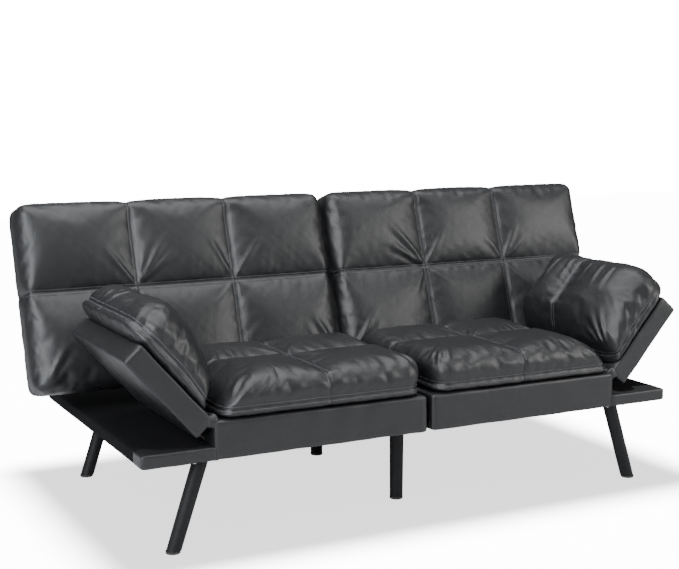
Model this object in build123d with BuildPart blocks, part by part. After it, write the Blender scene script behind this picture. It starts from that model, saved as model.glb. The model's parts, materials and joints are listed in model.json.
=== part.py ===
from build123d import *
from math import cos, radians, sin
import os

# Futon sofa bed, in millimetres. X runs along the sofa, the front faces -Y and +Z is up.
# The origin is on the floor under the middle of the sofa's box. The sofa is two halves side
# by side, so each right-hand piece is modelled once and mirrored across X = 0 for the left.

# Covers, plates and play
skin = 4                    # leather cover with its wadding
steel = 4                   # hinge plates
play = 0.25                 # from a back hinge's middle plane to each of its two plates
margin = 1                  # how far a cutting box runs past the face it opens

# Platform: a slatted timber frame under each half, with a board on it
half_gap = 9                # from the middle of the sofa to each half
platform_end = 771
platform_front = -400
platform_rear = 415
platform_bottom = 226
platform_top = 258
deck_thickness = 4
front_rail_width = 77
rear_rail_width = 95
slat_width = 50
slat_places = (215, 395)
leg_slat = (560, 640)
end_slat_width = 68
dust_cloth = 0.8

# Seat box on the platform, and its pad
seat_end = 590
seat_rear = 35
seat_top = 316
seat_board = 22
seat_stretcher = 30
felt_thickness = 10
seat_pad_end = 582
seat_pad_front = -415
seat_pad_rear = 30
seat_pad_top = 428
seat_pad_shoulder = 346     # height where the pad's outer side starts to slope in
seat_pad_crown_end = 498    # where that slope meets the pad's top

# Zigzag springs
wire_radius = 2
zigzag_half_width = 22
zigzag_pitch = 24
zigzag_bend = 10
seat_spring_places = (98, 226, 372, 500)
back_spring_places = (130, 265, 400, 505, 640, 775)

# Back: each half is a thick pad on a boarded frame, hinged low down inside the pad
back_tilt = 18.35           # degrees from upright, as it sits at rest
back_edge = (40, 326)       # y and z of the pad's lower front edge
back_pad_start = 5
back_pad_end = 900
back_pad_height = 510
back_pad_depth = 102
back_pad_rounding = 40
back_board_start = 22
back_board_end = 883
back_board_bottom = 20
back_board_top = 500
back_board_depth = 55
back_board_rounding = 12
back_cover_wall = 3
back_rail_bottom = 75       # the frame's lower rail, up the back from the pad's lower edge
back_rail_width = 45
back_frame_front = 108      # behind the pad's front face
back_stile_width = 40
back_mid_stile = 452

# Back hinge
pivot_depth = 81.5          # behind the pad's front face
pivot_rise = 40.1           # above the pad's lower edge
pin_radius = 5
pin_head_radius = 9
pin_head = 3
pin_head_gap = 4.5          # from the hinge's middle plane to the inside of each pin head
bore_play = 0.05
back_hinge_places = (60, 540)
bracket_ear_radius = 22
bracket_flange = 50
bracket_flange_thickness = 3
bracket_bottom = 262
bracket_top = 312
bracket_screw_offset = 17
plate_ear_radius = 20
plate_flange_rise = (80, 118)
plate_strap_depth = (92, 108)
plate_strap_rise = (78, 88)
slot_half_width = 9
slot_front = 12
slot_top = 90
cover_slot_depth = 125

# Arms: a pad on a board, hinged at the top outer edge of the seat box
arm_angle = 48.7            # degrees from level, as it sits at rest
arm_axis = (592, 315)       # x and z of the hinge line
arm_board_length = 262
arm_board_depth = 55
arm_board_front = -396
arm_board_rear = 28
arm_rail_width = 42
arm_pad_front = -400
arm_pad_rear = 30
arm_pad_depth = 118
arm_pad_end = 290
arm_pad_foot = 20           # where the pad starts, out along the board
arm_pad_crown_start = 95    # where the pad's inner side meets its top

# Arm hinge
arm_hinge_places = (-330, -40)
arm_hinge_length = 50
knuckle_radius = 7
knuckle_clearance = 2
knuckle_split = 9           # half the arm leaf's knuckle, plus the gap at its ends
knuckle_gap = 0.5
arm_pin_radius = 3.5
leaf_thickness = 3
leaf_length = 50

# Legs
corner_foot_x = 685
corner_leg_top_x = 610
front_foot_y = -358
rear_foot_y = 354
front_centre_y = -229
rear_centre_y = 257
leg_foot_radius = 17.5
leg_top_radius = 19
leg_wall = 1.5
leg_trim = 20               # how far a splayed leg is made past its cuts
glide_height = 6
glide_radius = 18
leg_plate = 70
leg_plate_thickness = 3
leg_plate_screw = 27        # from the plate's middle to each screw
screw_radius = 2.5
screw_head_radius = 4.5
screw_head = 2.4
screw_length = 18
beam_half_width = 60
beam_depth = 20
beam_front = -300
beam_rear = 330
bolt_radius = 4
bolt_head_radius = 8
bolt_head = 5
bolt_length = 42
bolt_x = 38
bolt_places = (-275, 14, 300)

# Worked out from the above
half_start = half_gap + skin
frame_end = platform_end - skin
frame_front = platform_front + skin
deck_top = platform_top - skin
deck_bottom = deck_top - deck_thickness
slat_front = platform_front + skin + front_rail_width
slat_rear = platform_rear - rear_rail_width
slat_spans = [(half_start, half_start + slat_width)]
slat_spans += [(place - slat_width / 2, place + slat_width / 2) for place in slat_places]
slat_spans += [leg_slat, (frame_end - end_slat_width, frame_end)]
seat_frame_end = seat_end - skin
seat_frame_rear = seat_rear - skin
felt_bottom = seat_top - felt_thickness
tilt = radians(back_tilt)
pivot_y = back_edge[0] + pivot_depth * cos(tilt) + pivot_rise * sin(tilt)
pivot_z = back_edge[1] - pivot_depth * sin(tilt) + pivot_rise * cos(tilt)
back_board_rear = back_pad_depth + back_board_depth
back_frame_rear = back_board_rear - back_cover_wall
arm_frame_front = arm_board_front + skin
arm_frame_rear = arm_board_rear - skin
leg_plate_bottom = platform_bottom - leg_plate_thickness
beam_bottom = platform_bottom - beam_depth
corner_legs = ((corner_foot_x, front_foot_y), (corner_foot_x, rear_foot_y))
centre_legs = (front_centre_y, rear_centre_y)

# The back's plane: local x goes back through the thickness, y up the back, z along the sofa.
back_plane = Plane(
    origin=(0, back_edge[0], back_edge[1]),
    x_dir=(0, cos(tilt), -sin(tilt)),
    z_dir=(1, 0, 0),
)

# The right arm's plane: local x goes out along the board, y up through the pad, z to the front.
arm_plane = Plane(
    origin=(arm_axis[0], 0, arm_axis[1]),
    x_dir=(cos(radians(arm_angle)), 0, sin(radians(arm_angle))),
    z_dir=(0, -1, 0),
)


def block(x_span, y_span, z_span, mode=Mode.ADD):
    # Adds or cuts a box between two limits on each axis of the part being built.
    spans = (x_span, y_span, z_span)
    centre = tuple((span[0] + span[1]) / 2 for span in spans)
    size = tuple(span[1] - span[0] for span in spans)
    with Locations(centre):
        Box(*size, mode=mode)


def export(part, name):
    part.label = name
    export_step(part, f"parts/{name}.step")


def export_pair(part, name):
    export(part, f"right_{name}")
    export(mirror(part, about=Plane.YZ), f"left_{name}")


def zigzag(start, end, middle):
    # Corner points of a spring that runs from start to end on its local y axis.
    bends = int((end - start) / zigzag_pitch) - 1
    first = (start + end - bends * zigzag_pitch) / 2
    points = [(middle, start), (middle, first)]
    for bend in range(bends):
        side = middle + zigzag_half_width * (1 if bend % 2 == 0 else -1)
        points.append((side, first + bend * zigzag_pitch))
        points.append((side, first + (bend + 1) * zigzag_pitch))
    points.append((middle, first + bends * zigzag_pitch))
    points.append((middle, end))
    return points


def leg_screw_places():
    # Where the screws of the right-hand corner legs go up into the platform frame.
    places = []
    for foot_y in (front_foot_y, rear_foot_y):
        for x_side in (-1, 1):
            for y_side in (-1, 1):
                x = corner_leg_top_x + x_side * leg_plate_screw
                places.append((x, foot_y + y_side * leg_plate_screw))
    return places


# Platform


def make_base_frame():
    with BuildPart() as base_frame:
        z_span = (platform_bottom, deck_bottom)
        block((half_start, frame_end), (frame_front, slat_front), z_span)
        block((half_start, frame_end), (slat_rear, platform_rear), z_span)
        for slat in slat_spans:
            block(slat, (slat_front, slat_rear), z_span)
        with BuildSketch(Plane.XY.offset(platform_bottom)):
            with Locations(*leg_screw_places()):
                Circle(screw_radius)
            with Locations(*[(bolt_x, place) for place in bolt_places]):
                Circle(bolt_radius)
        extrude(amount=deck_bottom - platform_bottom, mode=Mode.SUBTRACT)
    return base_frame.part


def make_deck_panel():
    with BuildPart() as deck_panel:
        block((half_start, frame_end), (frame_front, platform_rear), (deck_bottom, deck_top))
    return deck_panel.part


def make_dust_cloth():
    with BuildPart() as dust_sheet:
        z_span = (platform_bottom - dust_cloth, platform_bottom)
        block((beam_half_width + margin, frame_end), (frame_front, platform_rear), z_span)
        for foot_y in (front_foot_y, rear_foot_y):
            hole = leg_plate / 2 + margin
            x_span = (corner_leg_top_x - hole, corner_leg_top_x + hole)
            block(x_span, (foot_y - hole, foot_y + hole), z_span, mode=Mode.SUBTRACT)
    return dust_sheet.part


def make_shelf_cover():
    with BuildPart() as shelf_cover:
        block((seat_end, platform_end), (platform_front, platform_rear), (platform_bottom, platform_top))
        block(
            (seat_end - margin, frame_end),
            (frame_front, platform_rear + margin),
            (platform_bottom - margin, deck_top),
            mode=Mode.SUBTRACT,
        )
    return shelf_cover.part


# Seat


def make_seat_frame():
    with BuildPart() as seat_frame:
        block((half_start, seat_frame_end), (frame_front, seat_frame_rear), (deck_top, seat_top))
        block(
            (half_start + seat_board, seat_frame_end - seat_board),
            (frame_front + seat_board, seat_frame_rear - seat_board),
            (deck_top - margin, seat_top + margin),
            mode=Mode.SUBTRACT,
        )
        middle = (half_start + seat_frame_end) / 2
        block(
            (middle - seat_stretcher / 2, middle + seat_stretcher / 2),
            (frame_front + seat_board, seat_frame_rear - seat_board),
            (deck_top, deck_top + seat_stretcher),
        )
        cut_arm_hinge_housings()
        with BuildSketch(Plane.XZ.offset(-seat_frame_rear)):
            with Locations(*bracket_screw_places()):
                Circle(screw_radius)
        extrude(amount=screw_length, mode=Mode.SUBTRACT)
    return seat_frame.part


def cut_arm_hinge_housings():
    # Room for the fixed leaves and their knuckles, in the end of the seat box and its cover.
    leaf_inside = arm_axis[0] - knuckle_radius
    clear = knuckle_radius + knuckle_clearance
    for place in arm_hinge_places:
        y_span = (place - arm_hinge_length / 2, place + arm_hinge_length / 2)
        z_span = (arm_axis[1] - leaf_length, seat_top + margin)
        block((leaf_inside, leaf_inside + leaf_thickness), y_span, z_span, mode=Mode.SUBTRACT)
        y_span = (y_span[0] - knuckle_clearance, y_span[1] + knuckle_clearance)
        z_span = (arm_axis[1] - clear, seat_top + margin)
        block((arm_axis[0] - clear, seat_end + margin), y_span, z_span, mode=Mode.SUBTRACT)


def make_seat_springs():
    with BuildPart() as seat_springs:
        level = Plane.XY.offset(felt_bottom - wire_radius)
        start = frame_front + seat_board
        end = seat_frame_rear - seat_board
        for place in seat_spring_places:
            with BuildLine(level) as path:
                FilletPolyline(*zigzag(start, end, place), radius=zigzag_bend)
            with BuildSketch(path.line ^ 0):
                Circle(wire_radius)
            sweep(path=path.line)
    return seat_springs.part


def make_seat_felt():
    with BuildPart() as seat_felt:
        block(
            (half_start + seat_board, seat_frame_end - seat_board),
            (frame_front + seat_board, seat_frame_rear - seat_board),
            (felt_bottom, seat_top),
        )
    return seat_felt.part


def make_seat_cover():
    with BuildPart() as seat_cover:
        block((half_gap, seat_end), (platform_front, seat_rear), (platform_bottom, seat_top))
        block(
            (half_start, seat_frame_end),
            (frame_front, seat_frame_rear),
            (platform_bottom - margin, seat_top + margin),
            mode=Mode.SUBTRACT,
        )
        below = (platform_bottom - margin, deck_top)
        block((half_start, seat_end + margin), (frame_front, seat_rear + margin), below, mode=Mode.SUBTRACT)
        cut_arm_hinge_housings()
        with BuildSketch(Plane.XZ.offset(-seat_rear)):
            with Locations(*bracket_screw_places()):
                Circle(screw_radius)
        extrude(amount=skin, mode=Mode.SUBTRACT)
    return seat_cover.part


def make_seat_pad():
    with BuildPart() as seat_pad:
        with BuildSketch(Plane.XZ.offset(-seat_pad_rear)):
            with BuildLine():
                Polyline(
                    (half_start, seat_top),
                    (seat_pad_end, seat_top),
                    (seat_pad_end, seat_pad_shoulder),
                    (seat_pad_crown_end, seat_pad_top),
                    (half_start, seat_pad_top),
                    close=True,
                )
            make_face()
        extrude(amount=seat_pad_rear - seat_pad_front)
        top_edges = seat_pad.faces().sort_by(Axis.Z)[-1].edges()
        fillet(top_edges, radius=24)
    return seat_pad.part


# Back


def make_back_pad():
    with BuildPart(back_plane) as back_pad:
        block((0, back_pad_depth), (0, back_pad_height), (back_pad_start, back_pad_end))
        thickness = Axis((0, 0, 0), back_plane.x_dir)
        fillet(back_pad.edges().filter_by(thickness), radius=back_pad_rounding)
        front_face = back_pad.faces().sort_by(thickness)[0]
        fillet(front_face.edges(), radius=back_pad_rounding - margin)
        for place in back_hinge_places:
            block(
                (slot_front, back_pad_depth + margin),
                (-margin, slot_top),
                (place - slot_half_width, place + slot_half_width),
                mode=Mode.SUBTRACT,
            )
    return back_pad.part


def make_back_cover():
    with BuildPart(back_plane) as back_cover:
        block(
            (back_pad_depth, back_board_rear),
            (back_board_bottom, back_board_top),
            (back_board_start, back_board_end),
        )
        thickness = Axis((0, 0, 0), back_plane.x_dir)
        rear_face = back_cover.faces().sort_by(thickness)[-1]
        fillet(rear_face.edges(), radius=back_board_rounding)
        open_front = back_cover.faces().sort_by(thickness)[0]
        offset(amount=-back_cover_wall, openings=open_front)
        for place in back_hinge_places:
            block(
                (back_pad_depth - margin, cover_slot_depth),
                (back_board_bottom - margin, back_board_bottom + back_cover_wall + margin),
                (place - slot_half_width, place + slot_half_width),
                mode=Mode.SUBTRACT,
            )
    return back_cover.part


def make_back_frame():
    inner_start = back_board_start + back_cover_wall
    inner_end = back_board_end - back_cover_wall
    inner_top = back_board_top - back_cover_wall
    with BuildPart(back_plane) as back_frame:
        h_span = (back_frame_front, back_frame_rear)
        block(h_span, (back_rail_bottom, inner_top), (inner_start, inner_end))
        opening = (back_rail_bottom + back_rail_width, inner_top - back_rail_width)
        past = (back_frame_front - margin, back_frame_rear + margin)
        for x_span in (
            (inner_start + back_stile_width, back_mid_stile - back_stile_width / 2),
            (back_mid_stile + back_stile_width / 2, inner_end - back_stile_width),
        ):
            block(past, opening, x_span, mode=Mode.SUBTRACT)
        corner = Axis((0, 0, 0), back_plane.x_dir)
        outer_corners = back_frame.edges().filter_by(corner).sort_by(Axis.X)
        fillet(outer_corners[:2] + outer_corners[-2:], radius=back_board_rounding)
        rear_face = back_frame.faces().sort_by(corner)[-1]
        fillet(rear_face.outer_wire().edges(), radius=back_board_rounding - margin)
    return back_frame.part


def make_back_springs():
    start = back_rail_bottom + back_rail_width
    end = back_board_top - back_cover_wall - back_rail_width
    # Seen from the front: local x along the sofa, local y up the back.
    spring_plane = Plane(
        origin=back_plane.from_local_coords((back_frame_front + wire_radius * 2, 0, 0)),
        x_dir=(1, 0, 0),
        z_dir=-back_plane.x_dir,
    )
    with BuildPart() as back_springs:
        for place in back_spring_places:
            with BuildLine(spring_plane) as path:
                FilletPolyline(*zigzag(start, end, place), radius=zigzag_bend)
            with BuildSketch(path.line ^ 0):
                Circle(wire_radius)
            sweep(path=path.line)
    return back_springs.part


# Back hinge


def bracket_screw_places():
    # Screws through each bracket's flange, as (x, z) on the back of the seat box.
    middle = (bracket_bottom + bracket_top) / 2
    places = []
    for place in back_hinge_places:
        places += [(place - bracket_screw_offset, middle), (place + bracket_screw_offset, middle)]
    return places


def make_back_hinge_brackets():
    with BuildPart() as brackets:
        for place in back_hinge_places:
            with BuildSketch(Plane.YZ.offset(place - play - steel)):
                with Locations((pivot_y, pivot_z)):
                    Circle(bracket_ear_radius)
                with Locations((seat_rear + bracket_flange_thickness / 2, (bracket_bottom + bracket_top) / 2)):
                    Rectangle(bracket_flange_thickness, bracket_top - bracket_bottom)
                make_hull()
                with Locations((pivot_y, pivot_z)):
                    Circle(pin_radius, mode=Mode.SUBTRACT)
            extrude(amount=steel)
            block(
                (place - bracket_flange / 2, place + bracket_flange / 2),
                (seat_rear, seat_rear + bracket_flange_thickness),
                (bracket_bottom, bracket_top),
            )
        with BuildSketch(Plane.XZ.offset(-seat_rear - bracket_flange_thickness)):
            with Locations(*bracket_screw_places()):
                Circle(screw_radius)
        extrude(amount=bracket_flange_thickness, mode=Mode.SUBTRACT)
    return brackets.part


def make_bracket_screws():
    head_plane = Plane.XZ.offset(-seat_rear - bracket_flange_thickness - screw_head)
    with BuildPart() as screws:
        with BuildSketch(head_plane):
            with Locations(*bracket_screw_places()):
                Circle(screw_head_radius)
        extrude(amount=screw_head)
        with BuildSketch(head_plane.offset(screw_head)):
            with Locations(*bracket_screw_places()):
                Circle(screw_radius)
        extrude(amount=screw_length)
    return screws.part


def make_back_hinge_pins():
    with BuildPart() as pins:
        for place in back_hinge_places:
            pin_plane = Plane(origin=(place, pivot_y, pivot_z), x_dir=(0, 1, 0), z_dir=(1, 0, 0))
            with BuildSketch(pin_plane.offset(-pin_head_gap)):
                Circle(pin_radius)
            extrude(amount=2 * pin_head_gap)
            with BuildSketch(pin_plane.offset(pin_head_gap)):
                Circle(pin_head_radius)
            extrude(amount=pin_head)
            with BuildSketch(pin_plane.offset(-pin_head_gap - pin_head)):
                Circle(pin_head_radius)
            extrude(amount=pin_head)
    return pins.part


def make_back_hinge_plates():
    with BuildPart(back_plane) as plates:
        for place in back_hinge_places:
            with BuildSketch(back_plane.offset(place + play)):
                with Locations((pivot_depth, pivot_rise)):
                    Circle(plate_ear_radius)
                with Locations((sum(plate_strap_depth) / 2, sum(plate_strap_rise) / 2)):
                    strap_width = plate_strap_depth[1] - plate_strap_depth[0]
                    Rectangle(strap_width, plate_strap_rise[1] - plate_strap_rise[0])
                make_hull()
                with Locations((pivot_depth, pivot_rise)):
                    Circle(pin_radius + bore_play, mode=Mode.SUBTRACT)
            extrude(amount=steel)
            block(
                (back_frame_front - steel, back_frame_front),
                plate_flange_rise,
                (place - bracket_flange / 2, place + bracket_flange / 2),
            )
    return plates.part


# Arms


def arm_depths(front, rear):
    # A stretch along the sofa's depth, as the arm plane's local z span.
    return (-rear, -front)


def cut_knuckle_notches():
    # Room round the hinge knuckles, in the lower edge of the arm board.
    clear = knuckle_radius + knuckle_clearance
    for place in arm_hinge_places:
        reach = arm_hinge_length / 2 + knuckle_clearance
        depths = arm_depths(place - reach, place + reach)
        block((-margin, clear), (-clear, margin), depths, mode=Mode.SUBTRACT)


def make_arm_frame():
    length_end = arm_board_length - skin
    bottom = -arm_board_depth + skin
    depths = arm_depths(arm_frame_front, arm_frame_rear)
    with BuildPart(arm_plane) as arm_frame:
        block((skin, length_end), (bottom, 0), depths)
        middle = -(arm_frame_front + arm_frame_rear) / 2
        openings = (
            (depths[0] + arm_rail_width, middle - arm_rail_width / 2),
            (middle + arm_rail_width / 2, depths[1] - arm_rail_width),
        )
        for opening in openings:
            s_span = (skin + arm_rail_width, length_end - arm_rail_width)
            block(s_span, (bottom - margin, margin), opening, mode=Mode.SUBTRACT)
        for place in arm_hinge_places:
            leaf_depths = arm_depths(place - arm_hinge_length / 2, place + arm_hinge_length / 2)
            block((skin, skin + leaf_thickness), (-leaf_length, 0), leaf_depths, mode=Mode.SUBTRACT)
        cut_knuckle_notches()
    return arm_frame.part


def make_arm_cover():
    with BuildPart(arm_plane) as arm_cover:
        block((0, arm_board_length), (-arm_board_depth, 0), arm_depths(arm_board_front, arm_board_rear))
        block(
            (skin, arm_board_length - skin),
            (-arm_board_depth + skin, margin),
            arm_depths(arm_frame_front, arm_frame_rear),
            mode=Mode.SUBTRACT,
        )
        cut_knuckle_notches()
    return arm_cover.part


def make_arm_pad():
    with BuildPart() as arm_pad:
        with BuildSketch(arm_plane.offset(-arm_pad_rear)):
            with BuildLine():
                Polyline(
                    (arm_pad_foot, 0),
                    (arm_pad_end, 0),
                    (arm_pad_end, arm_pad_depth),
                    (arm_pad_crown_start, arm_pad_depth),
                    close=True,
                )
            make_face()
        extrude(amount=arm_pad_rear - arm_pad_front)
        rise = Axis((0, 0, 0), arm_plane.y_dir)
        fillet(arm_pad.faces().sort_by(rise)[-1].edges(), radius=36)
    return arm_pad.part


# Arm hinge


def knuckle(place, start, end, mode=Mode.ADD):
    # A length of knuckle round the arm's hinge line, between two places along it.
    with BuildSketch(arm_plane.offset(-place - end), mode=Mode.PRIVATE) as ring:
        Circle(knuckle_radius)
        Circle(arm_pin_radius + bore_play, mode=Mode.SUBTRACT)
    extrude(ring.sketch, amount=end - start, mode=mode)


def make_arm_hinge_seat_leaves():
    with BuildPart() as seat_leaves:
        leaf_inside = arm_axis[0] - knuckle_radius
        for place in arm_hinge_places:
            half = arm_hinge_length / 2
            for span in ((-half, -knuckle_split), (knuckle_split, half)):
                block(
                    (leaf_inside, leaf_inside + leaf_thickness),
                    (place + span[0], place + span[1]),
                    (arm_axis[1] - leaf_length, arm_axis[1]),
                )
                knuckle(place, *span)
            block(
                (leaf_inside, leaf_inside + leaf_thickness),
                (place - half, place + half),
                (arm_axis[1] - leaf_length, arm_axis[1] - knuckle_radius - knuckle_clearance),
            )
            bore_arm_hinge(place)
    return seat_leaves.part


def make_arm_hinge_arm_leaves():
    with BuildPart(arm_plane) as arm_leaves:
        for place in arm_hinge_places:
            half = arm_hinge_length / 2
            inner = knuckle_split - knuckle_gap
            tongue = arm_depths(place - inner, place + inner)
            block((skin, skin + leaf_thickness), (-leaf_length, 0), tongue)
            knuckle(place, -inner, inner)
            leaf_depths = arm_depths(place - half, place + half)
            top = -knuckle_radius - knuckle_clearance
            block((skin, skin + leaf_thickness), (-leaf_length, top), leaf_depths)
            bore_arm_hinge(place)
    return arm_leaves.part


def bore_arm_hinge(place):
    # Clears the pin's bore where the flat leaf meets its knuckle.
    half = arm_hinge_length / 2
    with BuildSketch(arm_plane.offset(-place - half), mode=Mode.PRIVATE) as bore:
        Circle(arm_pin_radius + bore_play)
    extrude(bore.sketch, amount=arm_hinge_length, mode=Mode.SUBTRACT)


def make_arm_hinge_pins():
    with BuildPart() as pins:
        for place in arm_hinge_places:
            with BuildSketch(arm_plane.offset(-place - arm_hinge_length / 2)):
                Circle(arm_pin_radius)
            extrude(amount=arm_hinge_length)
    return pins.part


# Legs


def make_corner_leg(foot_x, top_x, foot_y):
    foot = Vector(foot_x, foot_y, 0)
    top = Vector(top_x, foot_y, platform_bottom)
    along = (top - foot).normalized()
    length = (top - foot).length + 2 * leg_trim
    start = foot - along * leg_trim
    with BuildPart(Plane(origin=start, z_dir=along)) as leg:
        from_end = (Align.CENTER, Align.CENTER, Align.MIN)
        Cone(leg_foot_radius, leg_top_radius, length, align=from_end)
        Cone(leg_foot_radius - leg_wall, leg_top_radius - leg_wall, length, align=from_end, mode=Mode.SUBTRACT)
        split(bisect_by=Plane.XY.offset(glide_height), keep=Keep.TOP)
        split(bisect_by=Plane.XY.offset(leg_plate_bottom), keep=Keep.BOTTOM)
    return leg.part


def make_centre_leg(foot_y):
    height = beam_bottom - leg_plate_thickness - glide_height
    with BuildPart(Plane(origin=(0, foot_y, glide_height))) as leg:
        from_end = (Align.CENTER, Align.CENTER, Align.MIN)
        Cone(leg_foot_radius, leg_top_radius, height, align=from_end)
        Cone(leg_foot_radius - leg_wall, leg_top_radius - leg_wall, height, align=from_end, mode=Mode.SUBTRACT)
    return leg.part


def foot_places():
    places = [(side * x, y) for x, y in corner_legs for side in (-1, 1)]
    return places + [(0, y) for y in centre_legs]


def make_leg_glides():
    with BuildPart() as glides:
        with BuildSketch():
            with Locations(*foot_places()):
                Circle(glide_radius)
        extrude(amount=glide_height)
        chamfer(glides.edges().group_by(Axis.Z)[0], length=margin)
    return glides.part


def plate_outline(places):
    with Locations(*places):
        RectangleRounded(leg_plate, leg_plate, leg_plate / 10)
        with GridLocations(2 * leg_plate_screw, 2 * leg_plate_screw, 2, 2):
            Circle(screw_radius, mode=Mode.SUBTRACT)


def plate_places():
    # Middles of the plates: four under the platform, two under the centre beam.
    corners = [(side * corner_leg_top_x, y) for y in (front_foot_y, rear_foot_y) for side in (-1, 1)]
    return corners, [(0, y) for y in centre_legs]


def make_leg_plates():
    corners, centres = plate_places()
    with BuildPart() as plates:
        with BuildSketch(Plane.XY.offset(leg_plate_bottom)):
            plate_outline(corners)
        extrude(amount=leg_plate_thickness)
        with BuildSketch(Plane.XY.offset(beam_bottom - leg_plate_thickness)):
            plate_outline(centres)
        extrude(amount=leg_plate_thickness)
    return plates.part


def screw_grid(places, radius):
    with Locations(*places):
        with GridLocations(2 * leg_plate_screw, 2 * leg_plate_screw, 2, 2):
            Circle(radius)


def make_leg_screws():
    corners, centres = plate_places()
    with BuildPart() as screws:
        for places, bottom in ((corners, leg_plate_bottom), (centres, beam_bottom - leg_plate_thickness)):
            with BuildSketch(Plane.XY.offset(bottom - screw_head)):
                screw_grid(places, screw_head_radius)
            extrude(amount=screw_head)
            with BuildSketch(Plane.XY.offset(bottom)):
                screw_grid(places, screw_radius)
            extrude(amount=screw_length)
    return screws.part


def bolt_grid():
    return [(side * bolt_x, place) for place in bolt_places for side in (-1, 1)]


def make_centre_beam():
    with BuildPart() as beam:
        block((-beam_half_width, beam_half_width), (beam_front, beam_rear), (beam_bottom, platform_bottom))
        with BuildSketch(Plane.XY.offset(beam_bottom)):
            with Locations(*bolt_grid()):
                Circle(bolt_radius)
            screw_grid(plate_places()[1], screw_radius)
        extrude(amount=beam_depth, mode=Mode.SUBTRACT)
    return beam.part


def make_beam_bolts():
    with BuildPart() as bolts:
        with BuildSketch(Plane.XY.offset(beam_bottom - bolt_head)):
            with Locations(*bolt_grid()):
                Circle(bolt_head_radius)
        extrude(amount=bolt_head)
        with BuildSketch(Plane.XY.offset(beam_bottom)):
            with Locations(*bolt_grid()):
                Circle(bolt_radius)
        extrude(amount=bolt_length)
    return bolts.part


def main():
    os.makedirs("parts", exist_ok=True)
    export_pair(make_base_frame(), "base_frame")
    export_pair(make_deck_panel(), "deck_panel")
    export_pair(make_dust_cloth(), "dust_cloth")
    export_pair(make_shelf_cover(), "shelf_cover")
    export_pair(make_seat_frame(), "seat_frame")
    export_pair(make_seat_springs(), "seat_springs")
    export_pair(make_seat_felt(), "seat_felt")
    export_pair(make_seat_cover(), "seat_cover")
    export_pair(make_seat_pad(), "seat_pad")
    export_pair(make_back_pad(), "back_pad")
    export_pair(make_back_cover(), "back_cover")
    export_pair(make_back_frame(), "back_frame")
    export_pair(make_back_springs(), "back_springs")
    export_pair(make_back_hinge_brackets(), "back_hinge_brackets")
    export_pair(make_bracket_screws(), "back_hinge_screws")
    export_pair(make_back_hinge_pins(), "back_hinge_pins")
    export_pair(make_back_hinge_plates(), "back_hinge_plates")
    export_pair(make_arm_frame(), "arm_frame")
    export_pair(make_arm_cover(), "arm_cover")
    export_pair(make_arm_pad(), "arm_pad")
    export_pair(make_arm_hinge_seat_leaves(), "arm_hinge_seat_leaves")
    export_pair(make_arm_hinge_arm_leaves(), "arm_hinge_arm_leaves")
    export_pair(make_arm_hinge_pins(), "arm_hinge_pins")
    export_pair(make_corner_leg(corner_foot_x, corner_leg_top_x, front_foot_y), "front_leg")
    export_pair(make_corner_leg(corner_foot_x, corner_leg_top_x, rear_foot_y), "rear_leg")
    export(make_centre_leg(front_centre_y), "front_centre_leg")
    export(make_centre_leg(rear_centre_y), "rear_centre_leg")
    export(make_leg_plates(), "leg_plates")
    export(make_leg_glides(), "leg_glides")
    export(make_leg_screws(), "leg_screws")
    export(make_centre_beam(), "centre_beam")
    export(make_beam_bolts(), "beam_bolts")


main()
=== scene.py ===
import json
import math

import bpy
import numpy as np
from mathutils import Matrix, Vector


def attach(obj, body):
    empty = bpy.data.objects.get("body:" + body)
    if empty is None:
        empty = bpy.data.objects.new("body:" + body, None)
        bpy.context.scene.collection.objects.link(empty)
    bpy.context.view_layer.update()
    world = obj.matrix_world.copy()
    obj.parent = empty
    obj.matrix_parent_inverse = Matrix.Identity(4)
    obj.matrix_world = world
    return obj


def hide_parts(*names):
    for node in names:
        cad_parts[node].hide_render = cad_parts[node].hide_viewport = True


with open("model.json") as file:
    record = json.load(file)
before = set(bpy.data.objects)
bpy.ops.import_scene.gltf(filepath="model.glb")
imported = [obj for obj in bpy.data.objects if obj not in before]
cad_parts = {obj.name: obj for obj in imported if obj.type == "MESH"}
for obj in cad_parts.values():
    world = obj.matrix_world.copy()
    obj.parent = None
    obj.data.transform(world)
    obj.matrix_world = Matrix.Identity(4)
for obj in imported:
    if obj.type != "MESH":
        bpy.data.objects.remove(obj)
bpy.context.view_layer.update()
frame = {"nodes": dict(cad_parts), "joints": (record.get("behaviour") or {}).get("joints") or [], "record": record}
nodes = frame["nodes"]
joints = {joint["name"]: joint for joint in frame["joints"]}
sides = {"right": 1, "left": -1}
print("frame loaded:", len(nodes), "nodes")


# Camera, floor and lights

view = {
    "place": (-1.7061, -3.2032, 1.0867),
    "heading": -27.28,      # degrees, turned right from +Y
    "dip": -8.59,
    "lens": 69.57,
    "shiftUp": 0.0076,
}


def addCamera():
    camera = bpy.data.objects.new("camera", bpy.data.cameras.new("camera"))
    bpy.context.scene.collection.objects.link(camera)
    camera.data.lens = view["lens"]
    camera.data.shift_y = view["shiftUp"]
    camera.location = view["place"]
    camera.rotation_euler = (math.radians(90 + view["dip"]), 0, math.radians(view["heading"]))
    bpy.context.scene.camera = camera


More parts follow.
